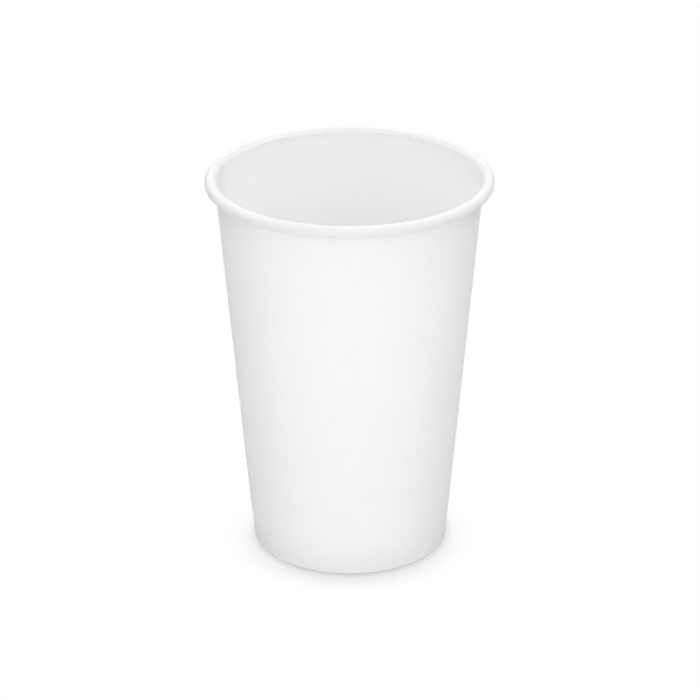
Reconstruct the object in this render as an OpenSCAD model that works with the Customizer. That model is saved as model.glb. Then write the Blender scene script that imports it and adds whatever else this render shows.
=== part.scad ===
// Single-wall paper hot-drink cup: a coned side wall with a rolled rim, a side seam and a folded
// foot, and a recessed base disc that the foot holds by its skirt. Millimetres, +Z up, with the
// origin at the middle of the foot on the table.

/* [Cup] */
// Overall height, from the table to the top of the rolled rim
cup_h = 110; // [80:1:150]
// Overall diameter across the rolled rim
rim_d = 80; // [74:0.5:90]
// Diameter of the wall's outside where its line meets the table
foot_d = 55; // [48:0.5:62]

/* [Board] */
// Thickness of the side wall's board
wall_t = 0.35; // [0.25:0.01:0.38]
// Thickness of the base disc's board
disc_t = 0.3; // [0.2:0.01:0.4]
// Sealing film between two boards, and the room that it takes
film_t = 0.02; // [0.01:0.01:0.05]

/* [Rolled rim] */
// Diameter of the rim's rolled section
curl_d = 3.3; // [3.1:0.1:4.2]
// Gap between the roll's tucked tail and the seam's outer layer
tail_gap = 0.05; // [0.03:0.01:0.1]
// How far the tucked tail turns inside the roll, in degrees
tail_turn = 200; // [120:5:240]

/* [Side seam] */
// Where the overlap begins, in degrees round from +X
seam_place = 168; // [0:1:359]
// Angle that the overlap spans, in degrees
seam_angle = 11; // [8:0.5:16]
// Width over which the outer layer climbs onto the inner one
ramp_w = 3; // [2:0.1:3.5]
// Width of the groove inside, beside the inner layer's cut edge
groove_w = 0.8; // [0.4:0.1:1.2]
// Depth of that groove in the wall
groove_depth = 0.18; // [0.1:0.01:0.22]
// Depth of that groove where it crosses the rolled rim
rim_groove_depth = 0.08; // [0.04:0.01:0.15]
// Height at which the groove starts above the base disc
groove_start = 1; // [0.5:0.1:3]

/* [Base and foot] */
// Height of the base disc's underside above the table
recess_h = 7.5; // [6:0.1:10]
// Depth by which the fold's underside is pressed flat on the table
foot_press = 0.02; // [0.01:0.01:0.05]
// Radius outside the bend between the base disc and its skirt
bend_r = 0.7; // [0.5:0.05:1.2]
// Clearance between the folded lip's top edge and the base disc
lip_clear = 0.9; // [0.5:0.1:2]

/* [Hidden] */
$fn = 96;
board_white = [0.96, 0.96, 0.965];
// Cutters reach this far past what they cut, and joined layers this far into each other
cut_over = 0.5;
layer_sink = 0.1;
toe_sink = 0.02;
// Step of the points along a bend, in degrees
bend_step = 15;

// The roll's board runs between these two radii about the roll's middle
curl_ro = curl_d / 2;
curl_ri = curl_ro - wall_t;
curl_r = rim_d / 2 - curl_ro;
curl_z = cup_h - curl_ro;
tail_ro = curl_ri - wall_t - tail_gap;
tail_y = tail_ro - curl_ro;
// Lean of the wall from upright, so that its outside runs into the roll without a kink
curl_dr = curl_r - foot_d / 2;
lean = atan(curl_dr / curl_z) - asin(curl_ri / norm([curl_dr, curl_z]));

// The wall's frame has its origin at the middle of the roll, x outward and y up the slope. These
// are the sideways places of the boards there, each at the board's outer face.
wall_x = -curl_ri;
skirt_x = wall_x - wall_t - film_t;
lip_x = skirt_x - disc_t - film_t;

// A place's distance up the slope, and its radius, both from its sideways place and its height
function along(x, z) = (z - curl_z + x * sin(lean)) / cos(lean);
function radius(x, z) = curl_r + x * cos(lean) + along(x, z) * sin(lean);

// Points round a bend from one angle to another, without its first point where another stretch
// has just ended there
function arc(centre, r, from, to, first = 0) =
    let (steps = ceil(abs(to - from) / bend_step))
    [for (i = [first:steps]) let (a = from + (to - from) * i / steps) centre + r * [cos(a), sin(a)]];

disc_top = recess_h + disc_t;
// The two tight bends under the foot turn about the channel's lower corners
fold_z = wall_t - foot_press;
fold_outer = [wall_x - wall_t, along(wall_x - wall_t, fold_z)];
fold_inner = [lip_x, along(lip_x, fold_z)];
lip_top = along(lip_x, recess_h - lip_clear);

// One layer's board round the rolled rim, in the wall's frame: over the top, round to the tucked
// tail's end, and back along the board's other side. Layer 0 is the board all round. Layer 1 lies
// on its outside in the seam, so in the roll it is the one nearer the middle. It runs into layer 0
// by sink, and its tail stops one step short of layer 0's.
function roll_outline(layer, sink = 0) =
    let (near = layer * wall_t - sink, far = (layer + 1) * wall_t,
         tail = [0, tail_y], tail_end = -90 - tail_turn + layer * bend_step)
    concat(
        arc([0, 0], curl_ro - near, 180, -90),
        arc(tail, tail_ro - near, -90, tail_end, 1),
        arc(tail, tail_ro - far, tail_end, -90),
        arc([0, 0], curl_ro - far, -90, 180, 1));

// Puts a section drawn in the wall's frame into the cup's radius-and-height plane
module wall_frame() {
    translate([curl_r, curl_z]) rotate(-lean) children();
}

// The board all round: rolled rim, wall, and the bottom edge folded in under the skirt and up
// behind it. The fold is pressed flat where it stands on the table.
module board_section() {
    difference() {
        wall_frame() polygon(concat(
            roll_outline(0),
            arc(fold_outer, wall_t, 0, lean - 90),
            arc(fold_inner, wall_t, lean - 90, -180),
            [[lip_x - wall_t, lip_top], [lip_x, lip_top], fold_inner, fold_outer]));
        translate([0, -cut_over]) square([rim_d, cut_over]);
    }
}

// The seam's outer layer, in the roll and down the wall
module lap_section() {
    wall_frame() polygon(concat(
        roll_outline(1, layer_sink),
        [[wall_x + wall_t, fold_outer[1]], [wall_x - layer_sink, fold_outer[1]]]));
}

// The seam's second layer on the folded lip
module lap_lip_section() {
    wall_frame() translate([lip_x - 2 * wall_t, fold_inner[1]])
        square([wall_t + layer_sink, lip_top - fold_inner[1]]);
}

// What the groove takes from the inside of the wall and the outside of the roll
module groove_section() {
    from = along(wall_x - wall_t, disc_top + groove_start);
    wall_frame() polygon(concat(
        [[wall_x - wall_t - cut_over, from], [wall_x - wall_t + groove_depth, from],
         [wall_x - wall_t + groove_depth, 0]],
        arc([0, 0], curl_ro - rim_groove_depth, 180, -90),
        arc([0, 0], curl_ro + cut_over, -90, 180)));
}

// Turns a section round the cup's axis from one angle for so many degrees
module turn(from, degrees) {
    rotate([0, 0, from]) rotate_extrude(angle = degrees) children();
}

// The outer layer's climb onto the inner layer's edge: a straight wedge up the slope, rooted half
// way into the wall
module seam_ramp() {
    root = wall_t / 2;
    toe_x = -ramp_w * ramp_w / foot_d - toe_sink;
    rotate([0, 0, seam_place]) translate([curl_r, 0, curl_z]) rotate([0, lean, 0])
        translate([wall_x, 0, fold_outer[1]]) linear_extrude(height = tail_y - fold_outer[1])
            polygon([[-root, 0], [wall_t, 0], [toe_x, -ramp_w], [toe_x - root, -ramp_w]]);
}

// Conical wall, rolled rim, side seam and folded foot, all of one blank
module side_wall() {
    groove_angle = groove_w / (foot_d / 2) * 180 / PI;
    color(board_white) difference() {
        union() {
            rotate_extrude() board_section();
            turn(seam_place, seam_angle) lap_section();
            turn(seam_place, seam_angle) lap_lip_section();
            seam_ramp();
        }
        turn(seam_place - groove_angle, groove_angle) groove_section();
    }
}

// Round base with its skirt turned down along the inside of the wall
module base_disc() {
    bend_x = skirt_x - bend_r;
    centre = [radius(bend_x, disc_top - bend_r), disc_top - bend_r];
    skirt_z = wall_t + film_t;
    color(board_white) rotate_extrude() polygon(concat(
        [[0, recess_h], [0, disc_top]],
        arc(centre, bend_r, 90, -lean),
        [[radius(skirt_x, skirt_z), skirt_z], [radius(skirt_x - disc_t, skirt_z), skirt_z]],
        arc(centre, bend_r - disc_t, -lean, 90)));
}

side_wall();
base_disc();
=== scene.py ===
import logging
import math
from dataclasses import dataclass, field
from enum import Enum
from typing import Any, Mapping, Optional, Sequence, Union

import bpy
import numpy as np
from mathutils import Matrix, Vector


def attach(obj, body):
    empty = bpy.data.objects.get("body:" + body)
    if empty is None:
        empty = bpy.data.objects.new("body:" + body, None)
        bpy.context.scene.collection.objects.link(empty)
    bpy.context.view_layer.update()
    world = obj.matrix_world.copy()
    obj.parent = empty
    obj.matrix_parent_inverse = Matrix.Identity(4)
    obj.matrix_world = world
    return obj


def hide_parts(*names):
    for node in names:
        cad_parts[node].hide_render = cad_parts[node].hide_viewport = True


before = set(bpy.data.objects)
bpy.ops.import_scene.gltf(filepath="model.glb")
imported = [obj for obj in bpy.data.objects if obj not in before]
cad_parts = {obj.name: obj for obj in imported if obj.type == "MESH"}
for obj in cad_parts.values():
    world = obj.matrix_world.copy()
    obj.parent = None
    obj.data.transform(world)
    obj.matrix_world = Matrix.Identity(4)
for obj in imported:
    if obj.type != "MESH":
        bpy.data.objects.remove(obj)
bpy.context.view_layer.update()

MM = 0.001
FULL_TURN = 360.0
# The value that shader noise swings about, and the middle of a tone between its two colours
MIDDLE = 0.5
REPORT = logging.getLogger("paper_cup")
Colour = tuple[float, float, float]
Place = tuple[float, float, float]
WHITE: Colour = (1.0, 1.0, 1.0)


class BoardFace(Enum):
    """The surfaces of cup board. The values are their material slots on a piece."""

    PLAIN = 0
    COATED = 1
    CUT = 2


@dataclass(frozen=True)
class CupSizes:
    """Sizes of the cup in metres and degrees, as in the part's source."""

    height: float = 110 * MM
    rim_diameter: float = 80 * MM
    foot_diameter: float = 55 * MM
    wall: float = 0.35 * MM
    disc: float = 0.3 * MM
    film: float = 0.02 * MM
    curl_diameter: float = 3.3 * MM
    tail_gap: float = 0.05 * MM
    tail_turn: float = 200.0
    seam_place: float = 168.0
    seam_angle: float = 11.0
    recess: float = 7.5 * MM
    foot_press: float = 0.02 * MM
    bend: float = 0.7 * MM
    lip_clear: float = 0.9 * MM

    @property
    def curl_out(self) -> float:
        """Radius of the rim's roll to its outside."""
        return self.curl_diameter / 2

    @property
    def curl_in(self) -> float:
        """Radius of the rim's roll to the board's other face."""
        return self.curl_out - self.wall

    @property
    def tail_out(self) -> float:
        """Radius of the tucked tail to its outside."""
        return self.curl_in - self.wall - self.tail_gap

    @property
    def curl_place(self) -> tuple[float, float]:
        """Radius and height of the roll's middle."""
        return self.rim_diameter / 2 - self.curl_out, self.height - self.curl_out

    @property
    def lean(self) -> float:
        """Finds the lean that runs the wall's outside into the roll without a kink.

        Returns:
            Angle of the wall from upright, in radians.
        """
        radius, height = self.curl_place
        out = radius - self.foot_diameter / 2
        return math.atan2(out, height) - math.asin(self.curl_in / math.hypot(out, height))

    @property
    def wall_x(self) -> float:
        """Sideways place of the wall's outside in the wall's frame."""
        return -self.curl_in

    @property
    def skirt_x(self) -> float:
        """Sideways place of the base skirt's outside in the wall's frame."""
        return self.wall_x - self.wall - self.film

    @property
    def lip_x(self) -> float:
        """Sideways place of the folded lip's outside in the wall's frame."""
        return self.skirt_x - self.disc - self.film

    @property
    def lip_top(self) -> float:
        """Height of the folded lip's top edge above the table."""
        return self.recess - self.lip_clear

    def along(self, x: float, height: float) -> float:
        """Finds how far up the slope a height lies.

        Args:
            x: Sideways place in the wall's frame.
            height: Height above the table.

        Returns:
            Distance up the slope from the roll's middle.
        """
        return (height - self.curl_place[1] + x * math.sin(self.lean)) / math.cos(self.lean)

    def stand(self, x: np.ndarray, y: np.ndarray) -> tuple[np.ndarray, np.ndarray]:
        """Puts places of the wall's frame into the cup's section.

        Args:
            x: Sideways places, outward.
            y: Places up the slope.

        Returns:
            Radii from the cup's axis, and heights above the table.
        """
        radius, height = self.curl_place
        cos, sin = math.cos(self.lean), math.sin(self.lean)
        return radius + x * cos + y * sin, height - x * sin + y * cos


@dataclass(frozen=True)
class Wave:
    """One of the slow waves that keep a formed board from being perfectly round."""

    count: int
    start: float
    size: float = 1.0
    twist: float = 0.0

    def at(self, around: np.ndarray, share: Union[float, np.ndarray] = 0.0) -> np.ndarray:
        """Height of the wave at angles round the cup, with its twist at shares of the slope."""
        return self.size * np.sin(self.count * around + self.start + self.twist * share)


def smooth(value: np.ndarray) -> np.ndarray:
    """Eases from 0 to 1 while value goes from 0 to 1."""
    held = np.clip(value, 0.0, 1.0)
    return held * held * (3.0 - 2.0 * held)


def wind(radius: np.ndarray, height: Union[float, np.ndarray], around: np.ndarray) -> np.ndarray:
    """Takes a section round the cup's axis.

    Args:
        radius: Radii from the axis, a row for each place of the section.
        height: Heights above the table, or one height for all.
        around: Angles round the axis in radians, one for each column.

    Returns:
        Points, a row for each place of the section and a column for each angle.
    """
    x, y = radius * np.cos(around), radius * np.sin(around)
    return np.stack([x, y, height + np.zeros_like(x)], axis=-1)


class BoardSection:
    """The line of a board's coated face in section, with the way to its plain face."""

    def __init__(self) -> None:
        """Starts an empty line."""
        self._places: list[tuple[float, float]] = []
        self._facings: list[tuple[float, float]] = []
        self._parts: list[str] = []

    def straight(self, part: str, start: Sequence[float], end: Sequence[float], facing: float,
                 steps: int, first: int = 0) -> None:
        """Adds a straight stretch.

        Args:
            part: Name of the stretch.
            start: First place.
            end: Last place.
            facing: Direction of the plain face, in degrees.
            steps: Number of steps.
            first: 1 leaves out the first place, where another stretch has just ended.
        """
        way = (math.cos(math.radians(facing)), math.sin(math.radians(facing)))
        for i in range(first, steps + 1):
            share = i / steps
            self._add(part, (start[0] + (end[0] - start[0]) * share,
                             start[1] + (end[1] - start[1]) * share), way)

    def bend(self, part: str, centre: Sequence[float], radius: float, start: float, end: float,
             steps: int, plain_out: bool) -> None:
        """Adds a bend, without its first place.

        Args:
            part: Name of the stretch.
            centre: Middle of the bend.
            radius: Radius of the coated face.
            start: First angle, in degrees.
            end: Last angle, in degrees.
            steps: Number of steps.
            plain_out: True where the plain face is the one away from the middle.
        """
        sign = 1.0 if plain_out else -1.0
        for i in range(1, steps + 1):
            angle = math.radians(start + (end - start) * i / steps)
            cos, sin = math.cos(angle), math.sin(angle)
            self._add(part, (centre[0] + radius * cos, centre[1] + radius * sin),
                      (sign * cos, sign * sin))

    def _add(self, part: str, place: tuple[float, float], facing: tuple[float, float]) -> None:
        """Adds one place.

        Args:
            part: Name of the stretch that it belongs to.
            place: The place itself.
            facing: Unit direction to the plain face.
        """
        self._parts.append(part)
        self._places.append(place)
        self._facings.append(facing)

    @property
    def places(self) -> np.ndarray:
        """Places of the coated face, one row each."""
        return np.array(self._places)

    @property
    def facings(self) -> np.ndarray:
        """Unit directions to the plain face, one row each."""
        return np.array(self._facings)

    def runs(self, thickness: float) -> np.ndarray:
        """Measures along the middle of the board.

        Args:
            thickness: Thickness of the board.

        Returns:
            Distance of each place from the first one.
        """
        middle = self.places + self.facings * thickness / 2
        return np.concatenate([[0.0], np.cumsum(np.linalg.norm(np.diff(middle, axis=0), axis=1))])

    def within(self, *parts: str) -> np.ndarray:
        """Marks the places of the named stretches with 1."""
        return np.array([float(part in parts) for part in self._parts])


@dataclass
class SheetMesh:
    """Collects the two faces and the cut edges of a bent board as one closed mesh.

    The coated and the plain face are grids of points, with a row for each place of the section
    and a column for each angle. The sheet gives the same points on the flat blank, where the
    board's grain lies, and the plain face reads the grain a level behind the coated one.
    """

    name: str
    coated: np.ndarray
    plain: np.ndarray
    sheet: np.ndarray
    joined: bool
    marks: Mapping[str, np.ndarray] = field(default_factory=dict)
    sharp_angle: float = 40.0
    plain_level: float = 1.0
    faces: list[tuple[int, ...]] = field(default_factory=list)
    slots: list[int] = field(default_factory=list)

    def _index(self, row: int, column: int, plain: bool) -> int:
        """Finds the number of a point.

        Args:
            row: Row of the point.
            column: Column of the point, which may be one past the last of a joined board.
            plain: True for a point of the plain face.

        Returns:
            The point's number in the mesh.
        """
        rows, columns = self.coated.shape[:2]
        if self.joined:
            column %= columns
        return (rows * columns if plain else 0) + row * columns + column

    def _quad(self, face: BoardFace, corners: Sequence[tuple[int, int, bool]]) -> None:
        """Adds one face from four corners, each a row, a column and a side."""
        self.faces.append(tuple(self._index(*corner) for corner in corners))
        self.slots.append(face.value)

    def _fill(self) -> None:
        """Adds every face of both sides and of the cut edges."""
        rows, columns = self.coated.shape[:2]
        last = columns if self.joined else columns - 1
        for i in range(rows - 1):
            for j in range(last):
                ring = [(i, j), (i + 1, j), (i + 1, j + 1), (i, j + 1)]
                self._quad(BoardFace.COATED, [(a, b, False) for a, b in ring])
                self._quad(BoardFace.PLAIN, [(a, b, True) for a, b in reversed(ring)])
            if not self.joined:
                for j, flip in ((0, False), (last, True)):
                    ends = [(i, j, False), (i, j, True), (i + 1, j, True), (i + 1, j, False)]
                    self._quad(BoardFace.CUT, ends[::-1] if flip else ends)
        for j in range(last):
            for i, flip in ((0, False), (rows - 1, True)):
                if i == 0 and self.joined:
                    continue
                ends = [(i, j, False), (i, j + 1, False), (i, j + 1, True), (i, j, True)]
                self._quad(BoardFace.CUT, ends[::-1] if flip else ends)

    def _close_middle(self, points: list[np.ndarray], sheet: list[np.ndarray]) -> None:
        """Closes both faces of a round board at its middle, with a fan of triangles each.

        Args:
            points: Points of the mesh so far. The two middles are added to them.
            sheet: Their places on the flat blank, to which the middles' places are added.
        """
        columns = self.coated.shape[1]
        for plain, grid, face in ((False, self.coated, BoardFace.COATED),
                                  (True, self.plain, BoardFace.PLAIN)):
            middle = sum(len(part) for part in points)
            level = self.sheet[0, 0, 2] + (self.plain_level if plain else 0.0)
            points.append(grid[0].mean(axis=0)[None, :])
            sheet.append(np.array([[0.0, 0.0, level]]))
            for j in range(columns):
                fan = (middle, self._index(0, j, plain), self._index(0, j + 1, plain))
                self.faces.append(fan[::-1] if plain else fan)
                self.slots.append(face.value)

    def build(self, materials: Mapping[BoardFace, bpy.types.Material]) -> bpy.types.Object:
        """Makes the object.

        Args:
            materials: The finish of each of the board's faces.

        Returns:
            The new object, linked to the scene.
        """
        self._fill()
        points = [self.coated.reshape(-1, 3), self.plain.reshape(-1, 3)]
        behind = self.sheet.reshape(-1, 3) + np.array([0.0, 0.0, self.plain_level])
        sheet = [self.sheet.reshape(-1, 3), behind]
        if self.joined:
            self._close_middle(points, sheet)
        mesh = bpy.data.meshes.new(self.name)
        mesh.from_pydata(np.concatenate(points).tolist(), [], self.faces)
        for slot in BoardFace:
            mesh.materials.append(materials[slot])
        mesh.polygons.foreach_set("material_index", self.slots)
        mesh.polygons.foreach_set("use_smooth", [True] * len(self.faces))
        mesh.set_sharp_from_angle(angle=math.radians(self.sharp_angle))
        place = mesh.attributes.new("sheet_place", "FLOAT_VECTOR", "POINT")
        place.data.foreach_set("vector", np.concatenate(sheet).astype(np.float32).ravel())
        columns = self.coated.shape[1]
        for name, rows in self.marks.items():
            mark = mesh.attributes.new(name, "FLOAT", "POINT")
            values = np.tile(np.repeat(rows, columns), 2)
            mark.data.foreach_set("value", values.astype(np.float32))
        mesh.update()
        made = bpy.data.objects.new(self.name, mesh)
        bpy.context.scene.collection.objects.link(made)
        return made


@dataclass
class WoundWall:
    """The side wall: one fan-shaped blank, wound once round and lapped at the side seam."""

    sizes: CupSizes
    columns: int = 624
    lip_steps: int = 6
    crease_steps: int = 5
    wall_steps: int = 13
    roll_steps: int = 27
    tail_steps: int = 8
    wall_ramp: float = 3.0 * MM
    rim_ramp: float = 1.3 * MM
    wall_pressed: float = 0.35
    rim_pressed: float = 0.62
    pressed_width: float = 1.4 * MM
    fold_squeeze: float = 0.5
    squeeze_fade: float = 2.5 * MM
    hair: float = 0.004 * MM
    crease: float = 0.03 * MM
    ribs: int = 78
    rib_depth: float = 0.09 * MM
    rib_end: float = 5.4 * MM
    rib_fade: float = 1.0 * MM
    rib_crown: float = 1.25
    hollow: float = 0.03 * MM
    hollow_waves: Sequence[Wave] = (Wave(count=3, start=0.7),
                                    Wave(count=5, start=2.1, size=0.7, twist=3.0))
    seam_calm: float = 30.0
    # How far past the roll's start the painted shade on the roll fades in.
    roll_shade_fade: float = 1.1 * MM
    crease_fade: float = 1.6 * MM

    def section(self) -> BoardSection:
        """Lays out the board from the lip's top edge, under the foot and up to the roll's tail.

        Returns:
            The line of the coated face in the wall's frame.
        """
        s = self.sizes
        lean = math.degrees(s.lean)
        fold_height = s.wall - s.foot_press
        inside_x = s.wall_x - s.wall
        fold_out = (inside_x, s.along(inside_x, fold_height))
        fold_in = (s.lip_x, s.along(s.lip_x, fold_height))
        lip_top = (s.lip_x, s.along(s.lip_x, s.lip_top))
        tail = (0.0, s.tail_out - s.curl_out)
        line = BoardSection()
        line.straight("lip", lip_top, fold_in, 180.0, self.lip_steps)
        line.bend("fold", fold_in, self.crease, -180.0, lean - 90.0, self.crease_steps, True)
        line.straight("fold", fold_in, fold_out, lean - 90.0, 1, 1)
        line.bend("fold", fold_out, self.crease, lean - 90.0, 0.0, self.crease_steps, True)
        line.straight("wall", fold_out, (inside_x, 0.0), 0.0, self.wall_steps, 1)
        line.bend("roll", (0.0, 0.0), s.curl_out, 180.0, -90.0, self.roll_steps, False)
        line.bend("tail", tail, s.tail_out, -90.0, -90.0 - s.tail_turn, self.tail_steps, False)
        return line

    def _spread(self, marks: np.ndarray, runs: np.ndarray, reach: float) -> np.ndarray:
        """Fades marked stretches out over a distance.

        Args:
            marks: 1 at the places of the stretches, and 0 elsewhere.
            runs: Distance of each place along the board.
            reach: Distance over which the marks fade.

        Returns:
            The faded marks.
        """
        marked = runs[marks > 0.5]
        away = np.abs(runs[:, None] - marked[None, :]).min(axis=1)
        return 1.0 - smooth(away / reach)

    def _layers(self, line: BoardSection, runs: np.ndarray,
                turn: np.ndarray) -> tuple[np.ndarray, np.ndarray]:
        """Finds how far the board stands off and how thick it is, in and beside the lap.

        Args:
            line: The board's section.
            runs: Distance of each place along the board.
            turn: Degrees of each column round from the blank's first edge.

        Returns:
            Offset of the coated face and thickness of the board, a row for each place and a
            column for each column.
        """
        s = self.sizes
        rim = line.within("roll", "tail")[:, None]
        folded = self._spread(line.within("fold"), runs, self.squeeze_fade)[:, None]
        squeeze = self.fold_squeeze * folded
        degree = math.degrees(1.0 / (s.foot_diameter / 2))
        ramp = (self.wall_ramp + (self.rim_ramp - self.wall_ramp) * rim) * degree
        pressed = self.wall_pressed + (self.rim_pressed - self.wall_pressed) * rim
        at = turn[None, :]

        def first_layer(place: np.ndarray) -> np.ndarray:
            """Finds the thickness of the layer that ends at the blank's first edge.

            Args:
                place: Degrees from that edge.

            Returns:
                Thickness, a row for each place of the section.
            """
            lapped = 1.0 - smooth((place - s.seam_angle) / (self.wall_ramp * degree))
            near_edge = 1.0 - smooth(place / (self.pressed_width * degree))
            return s.wall * (1.0 - squeeze * lapped) * (1.0 - pressed * near_edge)

        climb = smooth((at - FULL_TURN + ramp) / ramp)
        offset = climb * (first_layer(np.maximum(at - FULL_TURN, 0.0)) + self.hair)
        second = s.wall * (1.0 - squeeze * climb)
        return offset, np.where(at < FULL_TURN / 2, first_layer(at), second)

    def _rib_depths(self, line: BoardSection, runs: np.ndarray, turn: np.ndarray) -> np.ndarray:
        """Finds how deep the knurling wheel's ribs are pressed into the lip's plain face.

        Args:
            line: The board's section.
            runs: Distance of each place along the board.
            turn: Degrees of each column round from the blank's first edge.

        Returns:
            Depths, a row for each place and a column for each column.
        """
        on_lip = line.within("lip") * smooth(runs / self.rib_fade)
        on_lip = on_lip * smooth((self.rib_end - runs) / self.rib_fade)
        wave = 0.5 + 0.5 * np.cos(np.radians(turn + self.sizes.seam_place) * self.ribs)
        return self.rib_depth * on_lip[:, None] * smooth(wave * self.rib_crown)[None, :]

    def _hollows(self, line: BoardSection, turn: np.ndarray) -> np.ndarray:
        """Finds the slight unevenness of the wall, nil at the rim, at the foot and at the seam.

        Args:
            line: The board's section.
            turn: Degrees of each column round from the blank's first edge.

        Returns:
            How far the wall stands out, a row for each place and a column for each column.
        """
        y = line.places[:, 1]
        share = np.clip(y / y.min(), 0.0, 1.0) * line.within("wall")
        around = np.radians(turn)[None, :]
        waves = sum(wave.at(around, share[:, None]) for wave in self.hollow_waves)
        calm = smooth(turn / self.seam_calm) * smooth((FULL_TURN - turn) / self.seam_calm)
        return self.hollow * (np.sin(np.pi * share) ** 2)[:, None] * waves * calm[None, :]

    def _flat_blank(self, runs: np.ndarray, turn: np.ndarray) -> np.ndarray:
        """Finds where each point lies on the flat fan-shaped blank.

        Args:
            runs: Distance of each place along the board.
            turn: Degrees of each column round from the blank's first edge.

        Returns:
            Places in millimetres, a row for each place and a column for each column.
        """
        s = self.sizes
        apex = s.foot_diameter / 2 / math.sin(s.lean)
        reach = (apex + runs - s.lip_top)[:, None] / MM
        fan = np.radians(turn - turn.mean())[None, :] * math.sin(s.lean)
        x, y = reach * np.sin(fan), reach * np.cos(fan)
        return np.stack([x, y, np.zeros_like(x)], axis=-1)

    def build(self, materials: Mapping[BoardFace, bpy.types.Material]) -> bpy.types.Object:
        """Makes the wall.

        Args:
            materials: The finish of each of the board's faces.

        Returns:
            The wall's object, in place.
        """
        s = self.sizes
        line = self.section()
        runs = line.runs(s.wall)
        turn = np.linspace(0.0, FULL_TURN + s.seam_angle, self.columns)
        offset, thickness = self._layers(line, runs, turn)
        hollows = self._hollows(line, turn)
        around = np.radians(turn + s.seam_place)
        grids = []
        for depth in (offset, offset + thickness - self._rib_depths(line, runs, turn)):
            reach = depth + hollows
            x = line.places[:, :1] + line.facings[:, :1] * reach
            y = line.places[:, 1:] + line.facings[:, 1:] * reach
            radius, height = s.stand(x, y)
            grids.append(wind(radius, np.maximum(height, 0.0), around))
        sheet = self._flat_blank(runs, turn)
        roll_start = runs[line.within("roll") > 0.5][0]
        # Marks the roll and its tail for the painted shade on the coated face.
        marks = {"rolled": smooth((runs - roll_start) / self.roll_shade_fade),
                 "creased": self._spread(line.within("fold"), runs, self.crease_fade)}
        mesh = SheetMesh("wound_wall", grids[0], grids[1], sheet, False, marks)
        piece = mesh.build(materials)
        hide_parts("side_wall")
        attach(piece, "root")
        REPORT.info("wound_wall: %d faces", len(piece.data.polygons))
        return piece


@dataclass
class PressedBase:
    """The base disc: a round blank pressed into a shallow dish with its skirt turned down."""

    sizes: CupSizes
    columns: int = 264
    floor_steps: int = 14
    bend_steps: int = 7
    skirt_steps: int = 8
    middle: float = 1.0 * MM
    sag: float = 0.12 * MM
    pleats: int = 96
    pleat_depth: float = 0.035 * MM
    pleat_drift: float = 2.2
    pleat_change: float = 0.3
    pleat_waves: Sequence[Wave] = (Wave(count=7, start=1.3, size=0.6),
                                   Wave(count=11, start=0.4, size=0.4))
    sheet_level: float = 5.0

    def section(self) -> BoardSection:
        """Lays out the board from near its middle, over the bend and down the skirt.

        Returns:
            The line of the coated face as radii and heights.
        """
        s = self.sizes
        lean = math.degrees(s.lean)
        top = s.recess + s.disc
        bend_x = s.skirt_x - s.bend
        bend_y = s.along(bend_x, top - s.bend)
        radius, height = s.stand(np.array(bend_x), np.array(bend_y))
        foot_y = s.along(s.skirt_x, s.wall + s.film)
        foot_radius, foot_height = s.stand(np.array(s.skirt_x), np.array(foot_y))
        line = BoardSection()
        line.straight("floor", (self.middle, top), (float(radius), top), -90.0, self.floor_steps)
        line.bend("bend", (float(radius), float(height)), s.bend, 90.0, -lean, self.bend_steps,
                  False)
        line.straight("skirt", line.places[-1], (float(foot_radius), float(foot_height)),
                      180.0 - lean, self.skirt_steps, 1)
        return line

    def _stand_off(self, line: BoardSection, around: np.ndarray) -> np.ndarray:
        """Finds how far the coated face lies behind its line, in the sag and in the pleats.

        Args:
            line: The board's section.
            around: Angles of the columns, in radians.

        Returns:
            Distances, a row for each place and a column for each column.
        """
        s = self.sizes
        floor = line.within("floor")
        radii = line.places[:, 0]
        sag = self.sag * floor * (1.0 - smooth(radii / radii[floor > 0.5].max()))
        open_skirt = smooth((line.places[:, 1] - s.lip_top) / s.lip_clear) * (1.0 - floor)
        drift = sum(wave.at(around) for wave in self.pleat_waves)
        folds = 0.5 + 0.5 * np.cos(around * self.pleats + drift * self.pleat_drift)
        depths = folds * (1.0 - self.pleat_change + self.pleat_change * drift)
        return sag[:, None] + self.pleat_depth * open_skirt[:, None] * depths[None, :]

    def build(self, materials: Mapping[BoardFace, bpy.types.Material]) -> bpy.types.Object:
        """Makes the base.

        Args:
            materials: The finish of each of the board's faces.

        Returns:
            The base's object, in place.
        """
        s = self.sizes
        line = self.section()
        runs = line.runs(s.disc)
        around = np.linspace(0.0, 2 * math.pi, self.columns, endpoint=False)
        stand_off = self._stand_off(line, around)
        grids = []
        for depth in (0.0, s.disc):
            reach = stand_off + depth
            radius = line.places[:, :1] + line.facings[:, :1] * reach
            height = line.places[:, 1:] + line.facings[:, 1:] * reach
            grids.append(wind(radius, height, around))
        flat = (runs + self.middle)[:, None] / MM
        sheet = wind(flat, self.sheet_level, around)
        piece = SheetMesh("pressed_base", grids[0], grids[1], sheet, True).build(materials)
        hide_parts("base_disc")
        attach(piece, "root")
        REPORT.info("pressed_base: %d faces", len(piece.data.polygons))
        return piece


Operand = Union["Signal", float, Sequence[float]]


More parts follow.
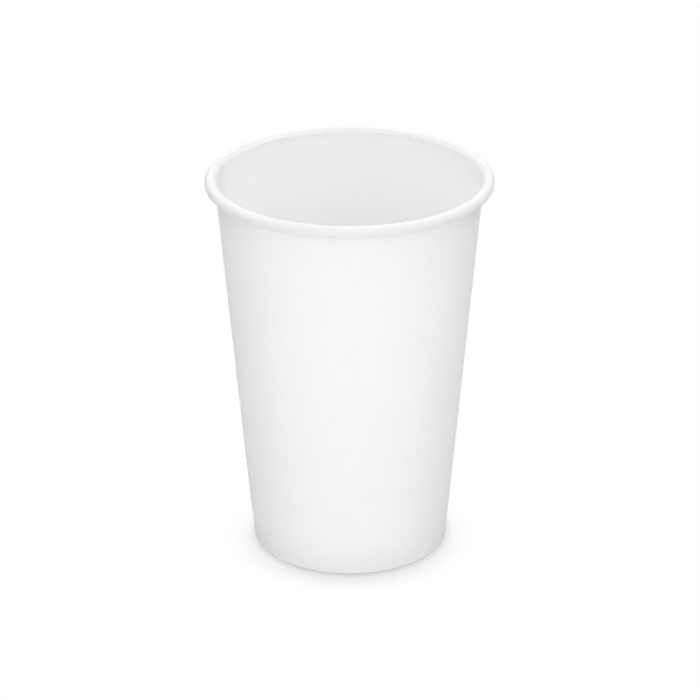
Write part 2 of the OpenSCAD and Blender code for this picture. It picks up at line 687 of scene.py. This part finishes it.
class Signal:
    """An output of a shader node. Python's operators on it add Math or Vector Math nodes."""

    def __init__(self, shader: "Shader", socket: bpy.types.NodeSocket) -> None:
        """Wraps one output.

        Args:
            shader: The shader that the output belongs to.
            socket: The output itself.
        """
        self.shader = shader
        self.socket = socket

    def _join(self, operation: str, first: Operand, second: Operand) -> "Signal":
        """Adds one node for an operation on two values or two vectors.

        Args:
            operation: The node's operation.
            first: Value on the left. A number beside a vector stands for all its parts.
            second: Value on the right.

        Returns:
            The result.
        """
        if self.socket.type == "VECTOR":
            pair = [(v,) * 3 if isinstance(v, (int, float)) else v for v in (first, second)]
            return self.shader.output("ShaderNodeVectorMath", "Vector", {"operation": operation},
                                      {0: pair[0], 1: pair[1]})
        return self.shader.output("ShaderNodeMath", "Value", {"operation": operation},
                                  {0: first, 1: second})

    def __add__(self, other: Operand) -> "Signal":
        """Adds."""
        return self._join("ADD", self, other)

    def __radd__(self, other: Operand) -> "Signal":
        """Adds, with the signal on the right."""
        return self._join("ADD", other, self)

    def __sub__(self, other: Operand) -> "Signal":
        """Takes away."""
        return self._join("SUBTRACT", self, other)

    def __rsub__(self, other: Operand) -> "Signal":
        """Takes the signal away."""
        return self._join("SUBTRACT", other, self)

    def __mul__(self, other: Operand) -> "Signal":
        """Multiplies."""
        return self._join("MULTIPLY", self, other)

    def __rmul__(self, other: Operand) -> "Signal":
        """Multiplies, with the signal on the right."""
        return self._join("MULTIPLY", other, self)

    def __pow__(self, power: float) -> "Signal":
        """Raises to a power."""
        return self._join("POWER", self, power)

    def at_least(self, other: Operand) -> "Signal":
        """The greater of the two."""
        return self._join("MAXIMUM", self, other)


@dataclass(frozen=True)
class Grain:
    """A pattern of noise in the board, in cycles for each millimetre of the flat blank."""

    scale: float
    detail: float
    roughness: float = 0.5
    stretch: Optional[tuple[float, float, float]] = None


class Shader:
    """The node tree of one material or of the world."""

    def __init__(self, owner: Union[bpy.types.Material, bpy.types.World]) -> None:
        """Empties the owner's tree.

        Args:
            owner: The material or world to write.
        """
        owner.use_nodes = True
        self.tree = owner.node_tree
        self.tree.nodes.clear()

    def node(self, kind: str, settings: Optional[Mapping[str, Any]] = None,
             inputs: Optional[Mapping[Union[int, str], Any]] = None) -> bpy.types.Node:
        """Adds one node.

        Args:
            kind: Type name of the node.
            settings: The node's own settings, which are set first.
            inputs: Values or links of its sockets, by name or number.

        Returns:
            The node.
        """
        made = self.tree.nodes.new(kind)
        for name, value in (settings or {}).items():
            setattr(made, name, value)
        for name, value in (inputs or {}).items():
            if isinstance(value, Signal):
                self.tree.links.new(value.socket, made.inputs[name])
            else:
                made.inputs[name].default_value = value
        return made

    def output(self, kind: str, output: Union[int, str],
               settings: Optional[Mapping[str, Any]] = None,
               inputs: Optional[Mapping[Union[int, str], Any]] = None) -> Signal:
        """Adds one node and gives one of its outputs.

        Args:
            kind: Type name of the node.
            output: Name or number of the output.
            settings: The node's own settings.
            inputs: Values or links of its sockets.

        Returns:
            The output.
        """
        return Signal(self, self.node(kind, settings, inputs).outputs[output])

    def sheet_place(self) -> Signal:
        """Place on the flat blank, in millimetres."""
        return self.output("ShaderNodeAttribute", "Vector", {"attribute_name": "sheet_place"})

    def mark(self, name: str) -> Signal:
        """Share, from 0 to 1, in which a place belongs to a stretch that the mesh marks."""
        return self.output("ShaderNodeAttribute", "Fac", {"attribute_name": name})

    def noise(self, place: Signal, grain: Grain) -> Signal:
        """Adds noise about MIDDLE.

        Args:
            place: Where it is read.
            grain: Its pattern.

        Returns:
            The noise.
        """
        if grain.stretch:
            place = place * grain.stretch
        return self.output("ShaderNodeTexNoise", 0, {"noise_dimensions": "3D"},
                           {"Vector": place, "Scale": grain.scale, "Detail": grain.detail,
                            "Roughness": grain.roughness})

    def blend(self, share: Signal, first: Union[Signal, Colour],
              second: Union[Signal, Colour]) -> Signal:
        """Mixes two colours.

        Args:
            share: Share of the second one.
            first: Colour at 0.
            second: Colour at 1.

        Returns:
            The colour.
        """
        ends = [end if isinstance(end, Signal) else (*end, 1.0) for end in (first, second)]
        return self.output("ShaderNodeMix", 2, {"data_type": "RGBA", "clamp_factor": False},
                           {0: share, 6: ends[0], 7: ends[1]})

    def relief(self, height: Signal, depth: float) -> Signal:
        """Adds bump.

        Args:
            height: Height, from 0 to 1.
            depth: Depth of the relief in metres.

        Returns:
            The normal.
        """
        return self.output("ShaderNodeBump", "Normal", None,
                           {"Height": height, "Strength": 1.0, "Distance": depth})

    def surface(self, shader_output: Signal) -> None:
        """Sends a shader to the surface output."""
        self.node("ShaderNodeOutputMaterial", None, {"Surface": shader_output})

    def board(self, inputs: Mapping[str, Any]) -> None:
        """Ends the tree in a board's surface with the given values and links."""
        self.surface(self.output("ShaderNodeBsdfPrincipled", "BSDF", None, inputs))


def lit_through(reach: float) -> dict[str, Any]:
    """Lets a little light through thin board, with the distance that it spreads in metres."""
    return {"Subsurface Weight": 1.0, "Subsurface Radius": (1.0, 1.0, 1.0),
            "Subsurface Scale": reach}


@dataclass(frozen=True)
class PlainBoard:
    """The uncoated outside of cup board: matt, with a fine grain and a faint cloudiness."""

    name: str = "plain_board"
    light: Colour = (0.833, 0.834, 0.837)
    shade: Colour = (0.811, 0.813, 0.818)
    clouds: Grain = Grain(scale=0.22, detail=4.0, roughness=0.62)
    fibres: Grain = Grain(scale=1.0, detail=3.0, roughness=0.6, stretch=(5.2, 1.5, 1.0))
    specks: Grain = Grain(scale=7.5, detail=1.0)
    cloud_tone: float = 1.5
    fibre_tone: float = 0.5
    speck_share: float = 0.25
    roughness: float = 0.62
    fibre_roughness: float = 0.12
    cloud_roughness: float = 0.1
    fibre_depth: float = 0.012 * MM
    gloss: float = 0.2
    passing: float = 0.35 * MM

    def material(self) -> bpy.types.Material:
        """Makes the material, with more grain where the board is creased.

        Returns:
            The material.
        """
        made = bpy.data.materials.new(self.name)
        shader = Shader(made)
        sheet = shader.sheet_place()
        clouds = shader.noise(sheet, self.clouds)
        fibres = shader.noise(sheet, self.fibres)
        specks = shader.noise(sheet, self.specks)
        creased = shader.mark("creased")
        tone = ((clouds - MIDDLE) * self.cloud_tone
                + (fibres - MIDDLE) * (self.fibre_tone + creased) + MIDDLE)
        grain = fibres * (1.0 - self.speck_share) + specks * self.speck_share
        grain = grain * (1.0 + creased)
        shader.board({"Base Color": shader.blend(tone, self.shade, self.light),
                      "Roughness": (self.roughness + (fibres - MIDDLE) * self.fibre_roughness
                                    + (clouds - MIDDLE) * self.cloud_roughness),
                      "Normal": shader.relief(grain, self.fibre_depth),
                      "Specular IOR Level": self.gloss, **lit_through(self.passing)})
        return made


@dataclass(frozen=True)
class CoatedBoard:
    """The film-coated inside of cup board: the grain shows softened through a faint gloss."""

    name: str = "coated_board"
    # The coated face is whiter than the plain face: partly the film's own colour, partly painted
    # light that brightens the cup's inside.
    light: Colour = (0.958, 0.959, 0.962)
    shade: Colour = (0.943, 0.945, 0.950)
    # Painted shade: a darker colour for the coated face where it is rolled into the rim, which
    # darkens the roll.
    rolled: Colour = (0.776, 0.779, 0.787)
    clouds: Grain = Grain(scale=0.22, detail=4.0, roughness=0.62)
    ripple: Grain = Grain(scale=1.0, detail=2.0, roughness=0.45, stretch=(1.6, 0.8, 1.0))
    fibres: Grain = Grain(scale=1.0, detail=2.0, stretch=(4.4, 1.3, 1.0))
    cloud_tone: float = 1.6
    fibre_tone: float = 0.3
    fibre_share: float = 0.3
    roughness: float = 0.5
    cloud_roughness: float = 0.14
    film_depth: float = 0.01 * MM
    gloss: float = 0.1
    passing: float = 0.35 * MM

    def material(self) -> bpy.types.Material:
        """Makes the material, with a darker colour of painted shade where the board is rolled
        into the rim.

        Returns:
            The material.
        """
        made = bpy.data.materials.new(self.name)
        shader = Shader(made)
        sheet = shader.sheet_place()
        clouds = shader.noise(sheet, self.clouds)
        ripple = shader.noise(sheet, self.ripple)
        fibres = shader.noise(sheet, self.fibres)
        tone = (clouds - MIDDLE) * self.cloud_tone + (fibres - MIDDLE) * self.fibre_tone + MIDDLE
        flat = shader.blend(tone, self.shade, self.light)
        film = ripple * (1.0 - self.fibre_share) + fibres * self.fibre_share
        # The coated face takes painted shade over the rim's roll.
        shader.board({"Base Color": shader.blend(shader.mark("rolled"), flat, self.rolled),
                      "Roughness": self.roughness + (clouds - MIDDLE) * self.cloud_roughness,
                      "Normal": shader.relief(film, self.film_depth),
                      "Specular IOR Level": self.gloss, **lit_through(self.passing)})
        return made


@dataclass(frozen=True)
class CutBoard:
    """The raw cut edge of cup board: fibrous layers in the board's middle."""

    name: str = "cut_board"
    light: Colour = (0.86, 0.855, 0.84)
    shade: Colour = (0.74, 0.73, 0.70)
    fibres: Grain = Grain(scale=1.0, detail=4.0, roughness=0.7, stretch=(3.0, 3.0, 9.0))
    roughness: float = 0.85
    fibre_roughness: float = 0.2
    fibre_depth: float = 0.05 * MM
    gloss: float = 0.2

    def material(self) -> bpy.types.Material:
        """Makes the material.

        Returns:
            The material.
        """
        made = bpy.data.materials.new(self.name)
        shader = Shader(made)
        fibres = shader.noise(shader.sheet_place(), self.fibres)
        shader.board({"Base Color": shader.blend(fibres, self.shade, self.light),
                      "Roughness": self.roughness + (fibres - MIDDLE) * self.fibre_roughness,
                      "Normal": shader.relief(fibres, self.fibre_depth),
                      "Specular IOR Level": self.gloss})
        return made


@dataclass(frozen=True)
class SoftLamp:
    """A flat lamp that points at the cup, and that the camera doesn't see."""

    name: str
    place: Place
    size: tuple[float, float]
    power: float
    aim: Place = (0.0, 0.0, 0.05)

    def build(self) -> bpy.types.Object:
        """Makes the lamp.

        Returns:
            The lamp's object, linked to the scene.
        """
        data = bpy.data.lights.new(self.name, "AREA")
        data.shape = "RECTANGLE"
        data.size, data.size_y = self.size
        data.energy = self.power
        lamp = bpy.data.objects.new(self.name, data)
        lamp.location = self.place
        way = Vector(self.aim) - Vector(self.place)
        lamp.rotation_euler = way.to_track_quat("-Z", "Y").to_euler()
        lamp.visible_camera = False
        bpy.context.scene.collection.objects.link(lamp)
        REPORT.info("%s: %.2f W", self.name, self.power)
        return lamp


@dataclass(frozen=True)
class ContactShade:
    """One share of the shadow that the cup lays on the table close round its foot.

    The reach of its rays is in metres. Their tilt from upright, towards +Y, is in degrees.
    """

    reach: float
    tilt: float
    power: float
    depth: float

    def hidden(self, shader: Shader, rays: int) -> Signal:
        """Finds the share of light that the cup hides from a place on the table.

        Args:
            shader: The table's shader.
            rays: Number of rays for each sample.

        Returns:
            The share, weighed with this shade's depth.
        """
        tilt = math.radians(self.tilt)
        way = shader.output("ShaderNodeCombineXYZ", 0, None,
                            {"Y": math.sin(tilt), "Z": math.cos(tilt)})
        bare = shader.output("ShaderNodeAmbientOcclusion", "AO", {"samples": rays},
                             {"Distance": self.reach, "Normal": way})
        return (1.0 - bare) ** self.power * self.depth


@dataclass
class Studio:
    """A white table and backdrop under plain soft light."""

    lamps: Sequence[SoftLamp] = (
        SoftLamp("lamp_front", (0.0, -1.9, 1.1), (1.2, 1.2), 14.7),
        SoftLamp("lamp_front_high", (0.0, -1.2, 1.7), (1.0, 1.0), 5.0),
        SoftLamp("lamp_front_low", (0.0, -2.2, 0.27), (0.4, 0.4), 5.0),
        SoftLamp("lamp_front_card", (0.0, -0.36, 0.012), (0.32, 0.02), 0.262, (0.0, 0.0, 0.075)),
        SoftLamp("lamp_left", (-1.8, -0.5, 1.0), (1.0, 1.0), 6.4),
        SoftLamp("lamp_right", (1.8, -0.5, 1.0), (1.0, 1.0), 5.4),
        SoftLamp("lamp_high_left", (-1.0, -0.1, 1.75), (0.8, 0.8), 4.0),
        SoftLamp("lamp_high_right", (1.0, -0.1, 1.75), (0.8, 0.8), 7.0),
        SoftLamp("lamp_above", (0.0, 0.0, 1.9), (1.2, 1.2), 6.0),
        SoftLamp("lamp_back_left", (-1.1, 1.1, 1.6), (0.8, 0.8), 16.2),
        SoftLamp("lamp_back_right", (1.1, 1.1, 1.6), (0.8, 0.8), 15.2),
    )
    ambient: Colour = (0.0, 0.0, 0.0)
    table_colour: Colour = (0.68, 0.68, 0.68)
    table_radius: float = 6.0
    table_sides: int = 96
    shaded_radius: float = 70 * MM
    shades: Sequence[ContactShade] = (
        ContactShade(reach=2.5 * MM, tilt=0.0, power=1.0, depth=0.22),
        ContactShade(reach=12 * MM, tilt=38.7, power=2.0, depth=0.52),
    )
    shade_rays: int = 24

    def _seen(self, shader: Shader) -> Signal:
        """Finds the rays that show the backdrop: the camera's, and those of gloss and glass.

        Args:
            shader: The backdrop's or the table's shader.

        Returns:
            1 for those rays, and 0 for the rays that carry light to the cup.
        """
        path = shader.node("ShaderNodeLightPath")
        rays = [Signal(shader, path.outputs[name])
                for name in ("Is Camera Ray", "Is Glossy Ray", "Is Transmission Ray")]
        return rays[0].at_least(rays[1]).at_least(rays[2])

    def _backdrop(self) -> None:
        """Makes the world: white where it is seen, and without light of its own on the cup."""
        world = bpy.data.worlds.new("backdrop")
        bpy.context.scene.world = world
        shader = Shader(world)
        colour = shader.blend(self._seen(shader), self.ambient, WHITE)
        sky = shader.output("ShaderNodeBackground", "Background", None, {"Color": colour})
        shader.node("ShaderNodeOutputWorld", None, {"Surface": sky})

    def _table_finish(self, name: str, shades: Sequence[ContactShade]) -> bpy.types.Material:
        """Makes a finish of the table: white where it is seen, and pale where it lights the cup.

        Args:
            name: Name of the material.
            shades: The shadow on it.

        Returns:
            The material.
        """
        made = bpy.data.materials.new(name)
        shader = Shader(made)
        light: Operand = 1.0
        for shade in shades:
            light = light - shade.hidden(shader, self.shade_rays)
        plain = shader.output("ShaderNodeBsdfDiffuse", "BSDF", None,
                              {"Color": (*self.table_colour, 1.0)})
        shown = shader.output("ShaderNodeEmission", "Emission", None, {"Strength": light})
        shader.surface(shader.output("ShaderNodeMixShader", 0, None,
                                     {0: self._seen(shader), 1: plain, 2: shown}))
        return made

    def _table(self) -> None:
        """Makes the round table: a small disc that takes the shadow, and a wide bare ring."""
        count = self.table_sides
        turns = np.linspace(0.0, 2 * math.pi, count, endpoint=False)
        radii = np.array([[self.shaded_radius], [self.table_radius]])
        points = wind(radii, 0.0, turns).reshape(-1, 3)
        faces = [tuple(range(count))]
        for i in range(count):
            after = (i + 1) % count
            faces.append((i, count + i, count + after, after))
        mesh = bpy.data.meshes.new("table")
        mesh.from_pydata(points.tolist(), [], faces)
        mesh.materials.append(self._table_finish("shaded_table", self.shades))
        mesh.materials.append(self._table_finish("bare_table", ()))
        mesh.polygons.foreach_set("material_index", [0] + [1] * count)
        table = bpy.data.objects.new("table", mesh)
        bpy.context.scene.collection.objects.link(table)

    def build(self) -> None:
        """Makes the table, the backdrop and the lamps."""
        self._backdrop()
        self._table()
        for lamp in self.lamps:
            lamp.build()


@dataclass(frozen=True)
class PhotoCamera:
    """The camera at the photograph's place, above the cup's front."""

    pitch: float = 24.41
    distance: float = 899.4 * MM
    target_height: float = 55 * MM
    sensor: float = 36.0
    lens: float = 163.6
    roll: float = -0.13
    shift: tuple[float, float] = (0.00016, 0.0086)
    near_limit: float = 50 * MM

    def build(self) -> bpy.types.Object:
        """Makes the camera and gives it to the scene.

        Returns:
            The camera's object.
        """
        data = bpy.data.cameras.new("camera")
        data.sensor_width = self.sensor
        data.lens = self.lens
        data.shift_x, data.shift_y = self.shift
        data.clip_start = self.near_limit
        camera = bpy.data.objects.new("camera", data)
        pitch = math.radians(self.pitch)
        camera.location = (0.0, -self.distance * math.cos(pitch),
                           self.target_height + self.distance * math.sin(pitch))
        camera.rotation_euler = (math.pi / 2 - pitch, 0.0, 0.0)
        camera.rotation_euler.rotate_axis("Z", math.radians(self.roll))
        bpy.context.scene.collection.objects.link(camera)
        bpy.context.scene.camera = camera
        return camera


def main() -> None:
    """Builds the camera, the studio and the cup's two boards."""
    logging.basicConfig(level=logging.INFO, format="%(message)s")
    bpy.context.scene.view_settings.view_transform = "Standard"
    PhotoCamera().build()
    Studio().build()
    sizes = CupSizes()
    coated, cut = CoatedBoard().material(), CutBoard().material()
    finishes = {BoardFace.PLAIN: PlainBoard().material(), BoardFace.COATED: coated,
                BoardFace.CUT: cut}
    WoundWall(sizes).build(finishes)
    PressedBase(sizes).build(finishes)


if __name__ == "__main__":
    main()
